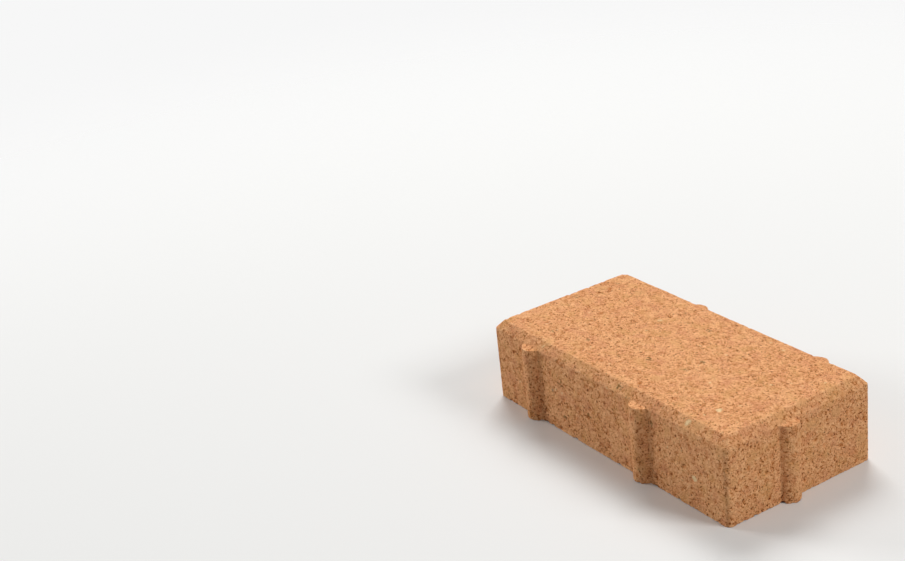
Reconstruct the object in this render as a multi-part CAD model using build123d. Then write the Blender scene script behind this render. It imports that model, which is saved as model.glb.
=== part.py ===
from build123d import *
import os

# A rectangular concrete paving stone with spacer ribs, cast in one piece.
# All sizes are in millimetres. The origin is in the middle of the bed face. X runs
# along the length, Y across the width, and Z up to the face that is walked on.

# The block
block_length = 200.0
block_width = 100.0
block_height = 50.0
corner_radius = 3.2

# The sloping edge round the top face
bevel_height = 5.0
bevel_width = 4.5
top_corner_radius = 2.0

# A spacer rib is an upright segment of a round bar, cast on to a side of the block.
rib_width = 13.0
rib_proud = 5.0

# Two stones laid side by side stand with their ribs in pairs, one rib of each stone.
# A pair's spacing leaves room for the two ribs side by side in the joint.
long_pair_from_end = 52.0
long_pair_spacing = 30.0
short_pair_spacing = 15.0

half_length = block_length / 2
half_width = block_width / 2
side_height = block_height - bevel_height


def cast_block():
    """The block's upright sides, and above them the sloping edge that ends in the top face."""
    plan = RectangleRounded(block_length, block_width, corner_radius)
    top_length = block_length - 2 * bevel_width
    top_width = block_width - 2 * bevel_width
    top_face = RectangleRounded(top_length, top_width, top_corner_radius)
    sides = extrude(plan, side_height)
    edge = loft([Pos(0, 0, side_height) * plan, Pos(0, 0, block_height) * top_face], ruled=True)
    return sides + edge


def spacer_rib():
    """One rib on the plane x = 0, standing out towards +X by rib_proud, from z = 0 up."""
    half_rib = rib_width / 2
    round_radius = (half_rib**2 + rib_proud**2) / (2 * rib_proud)
    centre = rib_proud - round_radius
    return Pos(centre, 0, 0) * extrude(Circle(round_radius), side_height)


def half_turned(place):
    """The same place after half a turn about Z."""
    return Rot(0, 0, 180) * place


def rib_places():
    """The ribs of the -Y and +X sides, and the same ribs turned to the other two sides."""
    pair_middle = half_length - long_pair_from_end
    front_ribs = [
        Pos(middle - long_pair_spacing / 2, -half_width, 0) * Rot(0, 0, -90)
        for middle in (-pair_middle, pair_middle)
    ]
    end_rib = Pos(half_length, -short_pair_spacing / 2, 0)
    near_sides = [*front_ribs, end_rib]
    return near_sides + [half_turned(place) for place in near_sides]


paving_stone = cast_block()
for rib_place in rib_places():
    paving_stone += rib_place * spacer_rib()

os.makedirs("parts", exist_ok=True)
export_step(paving_stone, "parts/paving_stone.step")
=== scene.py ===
import math
import bmesh
import bpy
import numpy as np
from mathutils import Matrix, Vector, noise
from mathutils.geometry import delaunay_2d_cdt
from mathutils.kdtree import KDTree


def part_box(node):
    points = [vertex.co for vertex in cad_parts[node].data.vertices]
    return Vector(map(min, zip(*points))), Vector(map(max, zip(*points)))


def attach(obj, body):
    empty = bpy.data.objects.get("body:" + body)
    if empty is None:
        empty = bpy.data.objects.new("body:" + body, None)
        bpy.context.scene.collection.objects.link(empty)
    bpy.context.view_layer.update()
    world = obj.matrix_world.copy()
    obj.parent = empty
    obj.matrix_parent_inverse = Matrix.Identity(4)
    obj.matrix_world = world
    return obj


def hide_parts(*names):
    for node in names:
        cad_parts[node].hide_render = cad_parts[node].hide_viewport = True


# The visual model of a concrete paving stone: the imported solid's shape with worn
# edges, pits and sand in its surface. Lengths are in metres, in the frame of the solid.

MM = 0.001

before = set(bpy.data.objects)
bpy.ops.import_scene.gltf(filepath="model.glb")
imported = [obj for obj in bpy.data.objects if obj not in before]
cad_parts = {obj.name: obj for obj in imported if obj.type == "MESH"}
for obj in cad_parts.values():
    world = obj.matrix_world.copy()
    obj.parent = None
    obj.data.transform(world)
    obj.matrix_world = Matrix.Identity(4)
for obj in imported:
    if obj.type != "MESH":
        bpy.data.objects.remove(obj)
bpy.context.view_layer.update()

# Sizes of the solid that its box doesn't give
RIB_WIDTH = 13 * MM
RIB_PROUD = 5 * MM
BEVEL_HEIGHT = 5 * MM
BEVEL_WIDTH = 4.5 * MM
CORNER_RADIUS = 3.2 * MM
TOP_CORNER_RADIUS = 2 * MM
LONG_SIDE_RIBS = (-63 * MM, 33 * MM)
SHORT_SIDE_RIBS = (-7.5 * MM,)

_, stone_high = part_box("paving_stone")
HALF_LENGTH = stone_high.x - RIB_PROUD
HALF_WIDTH = stone_high.y - RIB_PROUD
HEIGHT = stone_high.z
SIDE_HEIGHT = HEIGHT - BEVEL_HEIGHT
RIB_RADIUS = (RIB_WIDTH**2 / 4 + RIB_PROUD**2) / (2 * RIB_PROUD)
RIB_HALF_ANGLE = math.asin(RIB_WIDTH / 2 / RIB_RADIUS)

# How finely the surface is divided. One more row at CRISP from an edge keeps the edge crisp.
GRAIN = 0.75 * MM
WALL_ROW = 0.8 * MM
BED_GRAIN = 2.2 * MM
RIB_TOP_ROWS = 6
CRISP = 0.3 * MM

# The points inside the top and the bed lie off an even grid by up to SCATTER of its spacing.
# They keep CLEAR of that spacing from the outline, whose round corners cut in by CORNER_CUT
# of their radius.
SCATTER = 0.2
CLEAR = 0.6
CORNER_CUT = 0.3

# Points closer than SEAM are joined. An edge is where two faces turn away from each other
# by more than EDGE_ANGLE, and wear reaches EDGE_REACH from it.
SEAM = 0.002 * MM
EDGE_ANGLE = math.radians(25)
EDGE_REACH = 1.3 * MM

PIT_COUNT = 1500
CHIP_COUNT = 120

rng = np.random.default_rng(41)


def steps(length, size):
    """How many divisions of about this size a length takes."""
    return max(1, round(length / size))


def row_shares(length, count):
    """Shares of a length from 0 to 1: even ones, and one more close to each end."""
    even = np.linspace(0, 1, count + 1)
    close = CRISP / length
    return np.sort(np.append(even, [close, 1 - close]))


def side_stations(half_straight, rib_middles):
    """Places along one side: on the flat side, and on the ribs' surface, along and outward."""
    flat, along, outward = [], [], []

    def add(flat_places, along_places, outward_places):
        flat.append(flat_places)
        along.append(along_places)
        outward.append(outward_places)

    def add_flat(start, end):
        places = np.linspace(start, end, steps(end - start, GRAIN), endpoint=False)
        add(places, places, np.zeros(len(places)))

    start = -half_straight
    for middle in rib_middles:
        add_flat(start, middle - RIB_WIDTH / 2)
        arc_steps = steps(2 * RIB_HALF_ANGLE * RIB_RADIUS, GRAIN)
        angles = np.linspace(-RIB_HALF_ANGLE, RIB_HALF_ANGLE, arc_steps, endpoint=False)
        add(
            middle + RIB_WIDTH / 2 * angles / RIB_HALF_ANGLE,
            middle + RIB_RADIUS * np.sin(angles),
            RIB_RADIUS * np.cos(angles) - (RIB_RADIUS - RIB_PROUD),
        )
        start = middle + RIB_WIDTH / 2
    add_flat(start, half_straight)
    return np.concatenate(flat), np.concatenate(along), np.concatenate(outward)


LONG_STRAIGHT = HALF_LENGTH - CORNER_RADIUS
SHORT_STRAIGHT = HALF_WIDTH - CORNER_RADIUS
LONG_STATIONS = side_stations(LONG_STRAIGHT, LONG_SIDE_RIBS)
SHORT_STATIONS = side_stations(SHORT_STRAIGHT, SHORT_SIDE_RIBS)
CORNER_STEPS = steps(CORNER_RADIUS * math.pi / 2, GRAIN)
CORNER_ANGLES = np.linspace(0, math.pi / 2, CORNER_STEPS, endpoint=False)


def ring(level, inset, radius, ribbed):
    """A closed row of points round the stone, over the ribs where ribbed is 1 and without them at 0."""
    quarters = []
    for quarter in range(4):
        if quarter % 2 == 0:
            straight, out, stations = LONG_STRAIGHT, HALF_WIDTH, LONG_STATIONS
            new_straight = HALF_LENGTH - inset - radius
        else:
            straight, out, stations = SHORT_STRAIGHT, HALF_LENGTH, SHORT_STATIONS
            new_straight = HALF_WIDTH - inset - radius
        flat, along, outward = stations
        side_x = (flat + ribbed * (along - flat)) * new_straight / straight
        side_y = -(out - inset + ribbed * outward)
        corner_x = new_straight + radius * np.sin(CORNER_ANGLES)
        corner_y = -(out - inset - radius) - radius * np.cos(CORNER_ANGLES)
        places = np.column_stack([np.append(side_x, corner_x), np.append(side_y, corner_y)])
        turn = quarter * math.pi / 2
        spin = np.array([[math.cos(turn), math.sin(turn)], [-math.sin(turn), math.cos(turn)]])
        quarters.append(places @ spin)
    plan = np.concatenate(quarters)
    return np.column_stack([plan, np.full(len(plan), level)])


def stone_rings():
    """The rows from the bed up the walls, in over the ribs' tops, and up the bevel to the top face."""
    rings = [ring(0, CRISP, CORNER_RADIUS - CRISP, 1)]
    for share in row_shares(SIDE_HEIGHT, steps(SIDE_HEIGHT, WALL_ROW)):
        rings.append(ring(share * SIDE_HEIGHT, 0, CORNER_RADIUS, 1))
    for share in row_shares(RIB_PROUD, RIB_TOP_ROWS)[1:]:
        rings.append(ring(SIDE_HEIGHT, 0, CORNER_RADIUS, 1 - share))
    bevel_length = math.hypot(BEVEL_HEIGHT, BEVEL_WIDTH)
    for share in row_shares(bevel_length, steps(bevel_length, GRAIN))[1:]:
        radius = CORNER_RADIUS + share * (TOP_CORNER_RADIUS - CORNER_RADIUS)
        rings.append(ring(SIDE_HEIGHT + share * BEVEL_HEIGHT, share * BEVEL_WIDTH, radius, 0))
    rings.append(ring(HEIGHT, BEVEL_WIDTH + CRISP, TOP_CORNER_RADIUS - CRISP, 0))
    return rings


def fill(outline, spacing, inset):
    """Triangles over a flat closed row. The points inside it keep the inset from the block's sides."""
    half_x = HALF_LENGTH - inset
    half_y = HALF_WIDTH - inset
    across = np.linspace(-half_x, half_x, steps(2 * half_x, spacing))
    up = np.linspace(-half_y, half_y, steps(2 * half_y, spacing))
    grid = np.stack(np.meshgrid(across, up), -1).reshape(-1, 2)
    inner = grid + rng.uniform(-SCATTER, SCATTER, grid.shape) * spacing
    plan = [Vector(p) for p in np.concatenate([outline[:, :2], inner])]
    border = list(range(len(outline)))
    inside_only = 1
    tolerance = 1e-7
    points, _, faces, *_ = delaunay_2d_cdt(plan, [], [border], inside_only, tolerance)
    level = outline[0, 2]
    return [(p.x, p.y, level) for p in points], faces


def stone_mesh():
    """The sides, the top and the bed, with clean flat faces and sharp edges, not yet joined."""
    rings = stone_rings()
    count = len(rings[0])
    points = [tuple(p) for p in np.concatenate(rings)]
    faces = []
    for row in range(len(rings) - 1):
        lower, upper = row * count, (row + 1) * count
        for i in range(count):
            j = (i + 1) % count
            faces.append((lower + i, lower + j, upper + j, upper + i))
    top_inset = BEVEL_WIDTH + CRISP + CLEAR * GRAIN + CORNER_CUT * TOP_CORNER_RADIUS
    bed_inset = CRISP + CLEAR * BED_GRAIN + CORNER_CUT * CORNER_RADIUS
    top = fill(rings[-1], GRAIN, top_inset)
    bed = fill(rings[0], BED_GRAIN, bed_inset)
    for more_points, more_faces in (top, bed):
        base = len(points)
        points += more_points
        faces += [tuple(base + i for i in face) for face in more_faces]
    mesh = bpy.data.meshes.new("cast_stone")
    mesh.from_pydata(points, [], faces)
    return mesh


def coordinates(mesh):
    """The place of each point, one in a row."""
    flat = np.empty(len(mesh.vertices) * 3)
    mesh.vertices.foreach_get("co", flat)
    return flat.reshape(-1, 3)


def normals(mesh):
    """The outward direction at each point, one in a row."""
    flat = np.empty(len(mesh.vertices) * 3)
    mesh.vertex_normals.foreach_get("vector", flat)
    return flat.reshape(-1, 3)


def tree_of(points):
    """A search tree that finds the points near a place."""
    tree = KDTree(len(points))
    for i, point in enumerate(points):
        tree.insert(point, i)
    tree.balance()
    return tree


def weld(mesh):
    """Joins the patches and blunts the edges. Returns how near each point is to an edge, 0 to 1."""
    bm = bmesh.new()
    bm.from_mesh(mesh)
    bmesh.ops.remove_doubles(bm, verts=bm.verts, dist=SEAM)
    bmesh.ops.recalc_face_normals(bm, faces=bm.faces)
    bm.verts.ensure_lookup_table()
    folds = [e for e in bm.edges if e.calc_face_angle_signed(0) > EDGE_ANGLE]
    on_edge = {v for e in folds for v in e.verts}
    tree = tree_of([v.co for v in on_edge])
    away = np.array([tree.find(v.co)[2] for v in bm.verts])

    # A point inside the bed, where every face looks down, isn't moved, so the bed stays flat.
    looks_down = -0.5
    soft = [v for v in bm.verts if any(f.normal.z > looks_down for f in v.link_faces)]
    bmesh.ops.smooth_vert(bm, verts=soft, factor=0.5, use_axis_x=True, use_axis_y=True, use_axis_z=True)
    bm.to_mesh(mesh)
    bm.free()
    return np.clip(1 - away / EDGE_REACH, 0, 1)


def waves(points, size, height, seed, stretch=(1, 1, 1)):
    """Smooth noise of about this size at each point, from -height to height."""
    seed_distance = 17.3
    scaled = points / size / np.array(stretch) + seed * seed_distance
    return height * np.array([noise.noise(Vector(p)) for p in scaled])


def relief(points, side, edge):
    """How far each point stands proud: sand, a slight swell, and drag marks on the upright sides."""
    sand = waves(points, size=1.3 * MM, height=0.10 * MM, seed=1)
    coarse_sand = waves(points, size=2.9 * MM, height=0.07 * MM, seed=2)
    swell = waves(points, size=28 * MM, height=0.07 * MM, seed=3)
    drag = waves(points, size=1.5 * MM, height=0.10 * MM, seed=4, stretch=(1, 1, 12))
    return sand + coarse_sand + swell + drag * side * (1 - edge)


def wear(points, edge):
    """How far the edges have crumbled in at each point."""
    depth = 0.13 * MM
    even_wear = 0.35
    crumbs = waves(points, size=5 * MM, height=1, seed=5)
    fine_crumbs = waves(points, size=1.8 * MM, height=0.5, seed=6)
    return np.clip(even_wear + crumbs + fine_crumbs, 0, None) * edge * depth


def drawn(count, chances):
    """The indices of that many points, drawn by their chances. None is drawn twice."""
    return rng.choice(len(chances), count, p=chances / chances.sum(), replace=False)


def drawn_radii(count, smallest, spread):
    """That many radii from the smallest up, most of them close to it."""
    return smallest + spread * rng.random(count) ** 3


def dents(points, tree, middles, radii, depths):
    """How far round dents push each point in, and how deep in a dent it lies, 0 to 1."""
    push = np.zeros(len(points))
    deepness = np.zeros(len(points))
    for middle, radius, depth in zip(points[middles], radii, depths):
        for _, index, distance in tree.find_range(middle, radius):
            share = (1 - (distance / radius) ** 2) ** 2
            push[index] = max(push[index], depth * share)
            deepness[index] = max(deepness[index], share)
    return push, deepness


def roughen(mesh, edge):
    """Presses sand, pits, chips and wear in, and keeps for the material what each point is, with how deep it
    lies in the pits, for the painted shade there.
    """
    points = coordinates(mesh)
    outward = normals(mesh)

    # side is 1 on the upright sides and bed is 1 on the bed. Elsewhere both are about 0.
    side = np.clip(1.6 * (1 - np.abs(outward[:, 2])) - 0.5, 0, 1)
    bed = np.clip(-outward[:, 2] * 2 - 0.5, 0, 1)

    tree = tree_of(points)
    pits = drawn(PIT_COUNT, 0.25 + 0.75 * side + 1.5 * bed)
    pit_radii = drawn_radii(PIT_COUNT, smallest=0.8 * MM, spread=1.5 * MM)
    pit_depths = pit_radii * rng.uniform(0.2, 0.5, PIT_COUNT)
    pit_push, pit_shade = dents(points, tree, pits, pit_radii, pit_depths)
    chips = drawn(CHIP_COUNT, edge**2)
    chip_radii = drawn_radii(CHIP_COUNT, smallest=0.9 * MM, spread=1.3 * MM)
    chip_push, _ = dents(points, tree, chips, chip_radii, chip_radii * 0.3)

    # The surface only goes inward, so the stone keeps its size and its flat bed.
    skin = 0.12 * MM
    inward = skin - relief(points, side, edge) + wear(points, edge) + pit_push + chip_push
    points -= outward * np.clip(inward, 0, None)[:, None]
    points[:, 2] = np.clip(points[:, 2], 0, None)
    mesh.vertices.foreach_set("co", points.ravel())
    # How deep each point lies in the pits goes to the material, which paints shade into the pits with it.
    for name, values in (("pit_shade", pit_shade), ("side", side), ("edge", edge)):
        mesh.attributes.new(name, "FLOAT", "POINT").data.foreach_set("value", values)
    mesh.update()


def cast_stone():
    """The stone as one mesh object, in the place of its solid."""
    mesh = stone_mesh()
    edge = weld(mesh)
    roughen(mesh, edge)
    mesh.shade_smooth()
    stone = bpy.data.objects.new("cast_stone", mesh)
    bpy.context.scene.collection.objects.link(stone)
    return stone


def linear(red, green, blue):
    """A colour given as it looks on screen, 0 to 255, in Blender's linear numbers."""
    shares = (red / 255, green / 255, blue / 255)
    return tuple(s / 12.92 if s <= 0.04045 else ((s + 0.055) / 1.055) ** 2.4 for s in shares) + (1,)


class Nodes:
    """Adds nodes to one tree. A socket given as an input is linked, and a plain value is set."""

    def __init__(self, tree):
        self.tree = tree
        tree.nodes.clear()

    def add(self, kind, inputs=(), **settings):
        made = self.tree.nodes.new(kind)
        for name, value in settings.items():
            setattr(made, name, value)
        for key, value in dict(inputs).items():
            if isinstance(value, bpy.types.NodeSocket):
                self.tree.links.new(value, made.inputs[key])
            else:
                made.inputs[key].default_value = value
        return made

    def math(self, operation, first, second):
        return self.add("ShaderNodeMath", {0: first, 1: second}, operation=operation).outputs[0]

    def vector(self, operation, inputs):
        return self.add("ShaderNodeVectorMath", inputs, operation=operation).outputs[0]

    def noise(self, place, size, detail=2.0, roughness=0.5):
        inputs = {"Vector": place, "Scale": 1 / size, "Detail": detail, "Roughness": roughness}
        return self.add("ShaderNodeTexNoise", inputs).outputs["Fac"]

    def cells(self, place, size, **settings):
        return self.add("ShaderNodeTexVoronoi", {"Vector": place, "Scale": 1 / size}, **settings).outputs

    def picks(self, cells):
        """Three random numbers for each cell, from 0 to 1."""
        return self.add("ShaderNodeSeparateColor", {0: cells["Color"]}).outputs

    def shifted(self, place, size, reach):
        """The place moved about by noise, so that a pattern read there has no plain outlines."""
        wobble = self.add("ShaderNodeTexNoise", {"Vector": place, "Scale": 1 / size, "Detail": 2.0})
        either_way = self.vector("SUBTRACT", {0: wobble.outputs["Color"], 1: (0.5, 0.5, 0.5)})
        move = self.vector("SCALE", {0: either_way, "Scale": reach})
        return self.vector("ADD", {0: place, 1: move})

    def spots(self, place, spacing, radius, chance):
        """1 inside soft round spots, in that share of the cells, and a random number for each cell."""
        cells = self.cells(place, spacing)
        picks = self.picks(cells)
        reach = radius / spacing
        softness = 0.3
        inside = self.span(cells["Distance"], (1 + softness) * reach, (1 - softness) * reach)
        return self.math("MULTIPLY", inside, self.math("LESS_THAN", picks[0], chance)), picks[1]

    def span(self, value, low, high, to_low=0.0, to_high=1.0):
        """The value brought from low..high to another range, smoothly and clamped."""
        inputs = {0: value, 1: low, 2: high, 3: to_low, 4: to_high}
        return self.add("ShaderNodeMapRange", inputs, interpolation_type="SMOOTHSTEP").outputs[0]

    def mix(self, share, first, second):
        """The first colour where the share is 0, and the second where it is 1."""
        # The node has sockets of the same names for numbers and vectors, so these go by number.
        return self.add("ShaderNodeMix", {0: share, 6: first, 7: second}, data_type="RGBA").outputs[2]

    def sum(self, *parts, constant=0.0):
        """The constant and each value times its weight, added up."""
        total = constant
        for value, weight in parts:
            inputs = {0: value, 1: weight, 2: total}
            total = self.add("ShaderNodeMath", inputs, operation="MULTIPLY_ADD").outputs[0]
        return total

    def ramp(self, value, *stops):
        """A colour for each value, blended between stops of (value, colour)."""
        made = self.add("ShaderNodeValToRGB", {0: value})
        elements = made.color_ramp.elements
        while len(elements) < len(stops):
            elements.new(1.0)
        for element, (position, colour) in zip(elements, stops):
            element.position = position
            element.color = colour
        return made.outputs[0]

    def attribute(self, name):
        """What roughen() kept under that name for each point."""
        return self.add("ShaderNodeAttribute", attribute_name=name).outputs["Fac"]


class Sand:
    """The patterns of the sandy skin: grains with crevices beside some, finer grains and pores. The crevices
    and pores lower the bump and darken the colour as painted shade.
    """

    def __init__(self, nodes, place, plain_place):
        grain_size = 2 * MM
        self.mottle = nodes.noise(place, size=2.8 * MM, detail=4, roughness=0.72)
        self.fine = nodes.noise(plain_place, size=0.3 * MM, detail=3, roughness=0.65)
        self.grains = nodes.cells(place, grain_size)
        self.grain_picks = nodes.picks(self.grains)
        self.fine_grains = nodes.cells(place, size=0.7 * MM)
        self.fine_picks = nodes.picks(self.fine_grains)
        between_grains = nodes.cells(place, grain_size, feature="DISTANCE_TO_EDGE")["Distance"]
        open_share = nodes.span(nodes.noise(place, size=1.1 * MM), 0.50, 0.62)
        # The crevices beside some grains lower the bump and darken the colour as painted shade.
        self.crevices_and_shade = nodes.math("MULTIPLY", nodes.span(between_grains, 0.20, 0.03), open_share)
        self.pore_noise = nodes.noise(place, size=1.3 * MM, roughness=0.55)
        more_on_sides = nodes.math("MULTIPLY", nodes.attribute("side"), 0.012)
        # Pores lower the bump and darken the colour as painted shade; the sides have a few more.
        self.pores_and_shade = nodes.span(nodes.math("SUBTRACT", self.pore_noise, more_on_sides), 0.43, 0.29)


def sand_tone(nodes, sand, place):
    """The tone of the sand, from the painted shade of a deep pore at 0 to the palest sand at 1."""
    return nodes.sum(
        (sand.mottle, 1.05),
        (nodes.noise(place, size=9 * MM), 0.26),
        (nodes.noise(place, size=60 * MM), 0.16),
        (sand.grain_picks[0], 0.14),
        (sand.fine_picks[0], 0.26),
        (sand.fine_grains["Distance"], -0.16),
        (sand.fine, 0.30),
        # Painted shade: darker in the crevices, the pores and the pits.
        (sand.crevices_and_shade, -0.34),
        (sand.pores_and_shade, -0.52),
        (nodes.attribute("pit_shade"), -0.25),
        (nodes.attribute("edge"), 0.06),
        constant=-0.255,
    )


def sand_colour(nodes, sand, place, plain_place):
    """The colour of the sand: its tone, a slow change of hue, and a few olive-brown grains."""
    colour = nodes.ramp(
        sand_tone(nodes, sand, place),
        (0.00, linear(104, 46, 6)),
        (0.18, linear(160, 87, 28)),
        (0.38, linear(201, 126, 66)),
        (0.60, linear(226, 155, 101)),
        (0.92, linear(252, 191, 136)),
    )
    hue = nodes.noise(plain_place, size=10 * MM)
    redder = nodes.span(hue, 0.50, 0.72, 0, 0.45)
    yellower = nodes.span(hue, 0.50, 0.28, 0, 0.45)
    olive_grain = nodes.span(sand.fine_picks[2], 0.985, 0.99, 0, 0.5)
    colour = nodes.mix(redder, colour, linear(224, 148, 104))
    colour = nodes.mix(yellower, colour, linear(226, 166, 102))
    return nodes.mix(olive_grain, colour, linear(152, 112, 62))


def with_stones(nodes, colour, sand, plain_place):
    """The colour with the stones of the mix, some of them just under the skin, and with hollows painted as
    dark shade where the surface has none.
    """
    bent = nodes.shifted(plain_place, size=3 * MM, reach=3 * MM)
    under_skin, _ = nodes.spots(bent, spacing=24 * MM, radius=3.6 * MM, chance=0.6)
    # Painted shade: dark spots that stand for shaded hollows, with no hollows in the surface there.
    hollow_shade, _ = nodes.spots(bent, spacing=13 * MM, radius=2 * MM, chance=0.4)
    hollow_shade = nodes.math("MULTIPLY", hollow_shade, nodes.span(sand.pore_noise, 0.60, 0.42))
    grit, _ = nodes.spots(bent, spacing=6 * MM, radius=0.75 * MM, chance=0.12)
    pebble, kind = nodes.spots(bent, spacing=17 * MM, radius=1.8 * MM, chance=0.5)
    pale_or_brown = nodes.mix(nodes.span(kind, 0.5, 0.6), linear(250, 220, 168), linear(166, 136, 104))
    for share, strength, stone_colour in (
        (under_skin, 0.55, linear(230, 170, 112)),
        (hollow_shade, 0.75, linear(124, 92, 42)),
        (grit, 0.7, linear(246, 210, 158)),
        (pebble, 0.8, pale_or_brown),
    ):
        colour = nodes.mix(nodes.math("MULTIPLY", share, strength), colour, stone_colour)
    return colour


def sand_bump(nodes, sand):
    """The finest relief, which the mesh is too coarse to hold."""
    height = nodes.sum(
        (sand.fine_grains["Distance"], -1.0),
        (sand.grains["Distance"], -0.5),
        (sand.crevices_and_shade, -0.8),
        (sand.pores_and_shade, -0.9),
        (sand.mottle, 0.7),
        (sand.fine, 0.9),
    )
    inputs = {"Height": height, "Strength": 1.0, "Distance": 0.28 * MM}
    return nodes.add("ShaderNodeBump", inputs).outputs[0]


def concrete():
    """Orange pressed concrete: a sandy skin with pores darkened by painted shade, and a few grey, brown and
    pale grains.
    """
    material = bpy.data.materials.new("concrete")
    material.use_nodes = True
    nodes = Nodes(material.node_tree)
    plain_place = nodes.add("ShaderNodeTexCoord").outputs["Object"]
    place = nodes.shifted(plain_place, size=1.2 * MM, reach=0.45 * MM)
    sand = Sand(nodes, place, plain_place)
    colour = with_stones(nodes, sand_colour(nodes, sand, place, plain_place), sand, plain_place)
    rough = nodes.span(nodes.noise(place, size=1.2 * MM), 0.3, 0.7, 0.82, 0.97)
    shader = nodes.add(
        "ShaderNodeBsdfPrincipled",
        {
            "Base Color": colour,
            "Roughness": rough,
            "Specular IOR Level": 0.3,
            "Normal": sand_bump(nodes, sand),
        },
    )
    nodes.add("ShaderNodeOutputMaterial", {"Surface": shader.outputs[0]})
    return material


def floor():
    """A pale floor that fades into the backdrop. To the light it is darker than to the camera."""
    to_camera = (0.84, 0.84, 0.83, 1)
    to_light = (0.45, 0.45, 0.44, 1)
    half_size = 3.0
    fade_start, fade_end = 0.35, 1.1
    mesh = bpy.data.meshes.new("floor")
    corners = [(x * half_size, y * half_size, 0) for x, y in ((-1, -1), (1, -1), (1, 1), (-1, 1))]
    mesh.from_pydata(corners, [], [(0, 1, 2, 3)])
    material = bpy.data.materials.new("floor")
    material.use_nodes = True
    nodes = Nodes(material.node_tree)
    place = nodes.add("ShaderNodeTexCoord").outputs["Object"]
    away = nodes.add("ShaderNodeVectorMath", {0: place}, operation="LENGTH").outputs["Value"]
    seen = nodes.add("ShaderNodeLightPath").outputs["Is Camera Ray"]
    matt = nodes.add("ShaderNodeBsdfDiffuse", {"Color": nodes.mix(seen, to_light, to_camera)})
    clear = nodes.add("ShaderNodeBsdfTransparent")
    faded = nodes.span(away, fade_start, fade_end)
    blend = nodes.add("ShaderNodeMixShader", {0: faded, 1: matt.outputs[0], 2: clear.outputs[0]})
    nodes.add("ShaderNodeOutputMaterial", {"Surface": blend.outputs[0]})
    mesh.materials.append(material)
    plane = bpy.data.objects.new("floor", mesh)
    bpy.context.scene.collection.objects.link(plane)


def backdrop():
    """A white surround to the eye, and a soft even light on the stone."""
    world = bpy.data.worlds.new("studio")
    bpy.context.scene.world = world
    world.use_nodes = True
    nodes = Nodes(world.node_tree)
    path = nodes.add("ShaderNodeLightPath").outputs
    mirrored = nodes.math("MAXIMUM", path["Is Glossy Ray"], path["Is Transmission Ray"])
    seen = nodes.math("MAXIMUM", path["Is Camera Ray"], mirrored)
    light = nodes.add("ShaderNodeBackground", {"Color": (1, 0.99, 0.97, 1), "Strength": 0.25})
    white = nodes.add("ShaderNodeBackground", {"Color": (0.93, 0.93, 0.93, 1), "Strength": 1.0})
    blend = nodes.add("ShaderNodeMixShader", {0: seen, 1: light.outputs[0], 2: white.outputs[0]})
    nodes.add("ShaderNodeOutputWorld", {"Surface": blend.outputs[0]})


def softbox(name, azimuth, elevation, distance, size, power):
    """A square area light that looks at the stone. Azimuth 0 is in front, at -Y, and 90 is at +X."""
    data = bpy.data.lights.new(name, "AREA")
    data.size = size
    data.energy = power
    lamp = bpy.data.objects.new(name, data)
    turn, rise = math.radians(azimuth), math.radians(elevation)
    away = Vector((math.sin(turn) * math.cos(rise), -math.cos(turn) * math.cos(rise), math.sin(rise)))
    lamp.location = away * distance
    lamp.rotation_euler = away.to_track_quat("Z", "Y").to_euler()
    bpy.context.scene.collection.objects.link(lamp)


def camera():
    """The view of the drawing in the photograph, fitted to its lines and corners."""
    place = Vector((0.6147, -0.4984, 0.4414))
    heading, dip, roll = math.radians(59.31), math.radians(23.33), math.radians(-6.62)
    frame_width = 905
    focal_pixels = 1585
    forward = Vector((-math.sin(heading) * math.cos(dip), math.cos(heading) * math.cos(dip), -math.sin(dip)))
    right = Vector((math.cos(heading), math.sin(heading), 0))
    up = right.cross(forward)
    tilted_right = math.cos(roll) * right + math.sin(roll) * up
    tilted_up = math.cos(roll) * up - math.sin(roll) * right
    data = bpy.data.cameras.new("camera")
    data.sensor_width = 36
    data.lens = data.sensor_width * focal_pixels / frame_width
    viewer = bpy.data.objects.new("camera", data)
    axes = Matrix((tilted_right, tilted_up, -forward)).transposed()
    viewer.matrix_world = Matrix.Translation(place) @ axes.to_4x4()
    bpy.context.scene.collection.objects.link(viewer)
    bpy.context.scene.camera = viewer


camera()
backdrop()
floor()
softbox("high", azimuth=-126, elevation=53, distance=3.0, size=1.3, power=52)
softbox("key", azimuth=118, elevation=35, distance=3.0, size=1.1, power=39)
softbox("rake", azimuth=-60, elevation=14, distance=3.0, size=0.9, power=40)
softbox("fill", azimuth=50, elevation=12, distance=3.0, size=1.6, power=5)
bpy.context.scene.view_settings.view_transform = "Standard"

stone = cast_stone()
stone.data.materials.append(concrete())
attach(stone, "root")
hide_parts("paving_stone")
